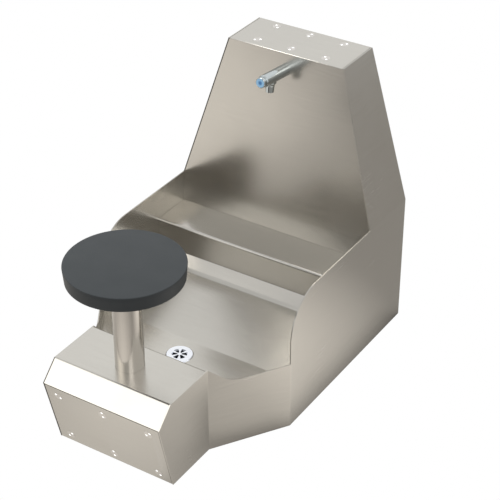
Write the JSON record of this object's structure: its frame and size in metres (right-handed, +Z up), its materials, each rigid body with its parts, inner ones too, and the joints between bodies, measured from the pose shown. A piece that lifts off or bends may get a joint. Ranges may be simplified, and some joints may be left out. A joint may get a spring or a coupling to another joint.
{
  "type": "foot washing station",
  "caption": "Free-standing steel foot washing station: round seat on a pedestal, open basin with a slotted drain, foot ledge, and a tapering tower with a push-button tap.",
  "frame": {"origin": "middle of the bounding box's bottom face, on the floor", "axes": "+X to the right of a person who sits facing the tap's tower from behind the seat, +Y from the seat to the tower's back, +Z up"},
  "size_m": [0.612, 1.0414, 0.823],
  "materials": {
    "cabinet_steel": "satin brushed stainless sheet, warm grey",
    "inner_steel": "plain rolled stainless, dull",
    "post_steel": "tube brushed along its length",
    "screw_steel": "fine turned heads, fairly bright",
    "seat_plastic": "dark slate with a fine moulded grain",
    "chrome": "polished plating",
    "waste_chrome": "polished plating, slightly soft",
    "index_blue": "glossy light blue",
    "nozzle_grey": "smooth grey",
    "brass": "turned brass",
    "copper": "drawn copper tube",
    "black_rubber": "matt black",
    "drain_plastic": "moulded black",
    "handle_plastic": "moulded dark grey",
    "spring_steel": "bright drawn wire"
  },
  "bodies": {
    "cabinet": {"left_side_sheet": "cabinet_steel", "right_side_sheet": "cabinet_steel", "pedestal_cover": "cabinet_steel", "front_top_rail": "inner_steel", "front_sill": "inner_steel", "front_access_panel": "cabinet_steel", "front_panel_screws": "screw_steel", "front_nut_inserts": "brass", "basin_pan": "cabinet_steel", "basin_support_channel": "inner_steel", "foot_ledge": "cabinet_steel", "ledge_channel": "inner_steel", "tower_front_panel": "cabinet_steel", "tower_top_frame": "inner_steel", "top_access_panel": "cabinet_steel", "top_panel_screws": "screw_steel", "top_nut_inserts": "brass", "back_top_rail": "inner_steel", "back_bottom_rail": "inner_steel", "supply_bracket": "inner_steel", "seat_disc": "seat_plastic", "seat_plate": "inner_steel", "seat_screws": "screw_steel", "seat_post": "post_steel", "post_base_plate": "inner_steel", "pedestal_channel": "inner_steel", "post_plate_bolts": "screw_steel", "drain_flange": "chrome", "drain_screw": "screw_steel", "drain_gasket": "black_rubber", "drain_body": "drain_plastic", "tailpiece": "waste_chrome", "tailpiece_nut": "waste_chrome", "p_trap": "waste_chrome", "trap_nuts": "waste_chrome", "waste_arm": "waste_chrome", "tap_body": "chrome", "tap_nozzle": "nozzle_grey", "tap_collar": "chrome", "metering_cartridge": "brass", "return_spring": "spring_steel", "tap_washer": "black_rubber", "tap_locknut": "brass", "supply_elbow": "brass", "swivel_nut": "brass", "supply_tube": "copper", "compression_nuts": "brass", "stop_valve_body": "chrome", "inlet_nipple": "chrome", "nipple_locknut": "brass"},
    "button": {"tap_button": "chrome", "button_index": "index_blue"},
    "valve_handle": {"valve_stem": "brass", "stop_valve_handle": "handle_plastic", "handle_screw": "screw_steel"}
  },
  "joints": [
    {"name": "button_press", "type": "slide", "parent": "cabinet", "child": "button", "axis": [0, 0.9941, -0.1082], "range_m": [0, 0.007], "stiffness_N_per_m": 2000, "springref_m": -0.003, "deforming": ["return_spring"]},
    {"name": "stop_valve_turn", "type": "hinge", "parent": "cabinet", "child": "valve_handle", "pos_m": [0, 0.43095, 0.42], "axis": [0, -1, 0], "range_deg": [0, 90]}
  ]
}
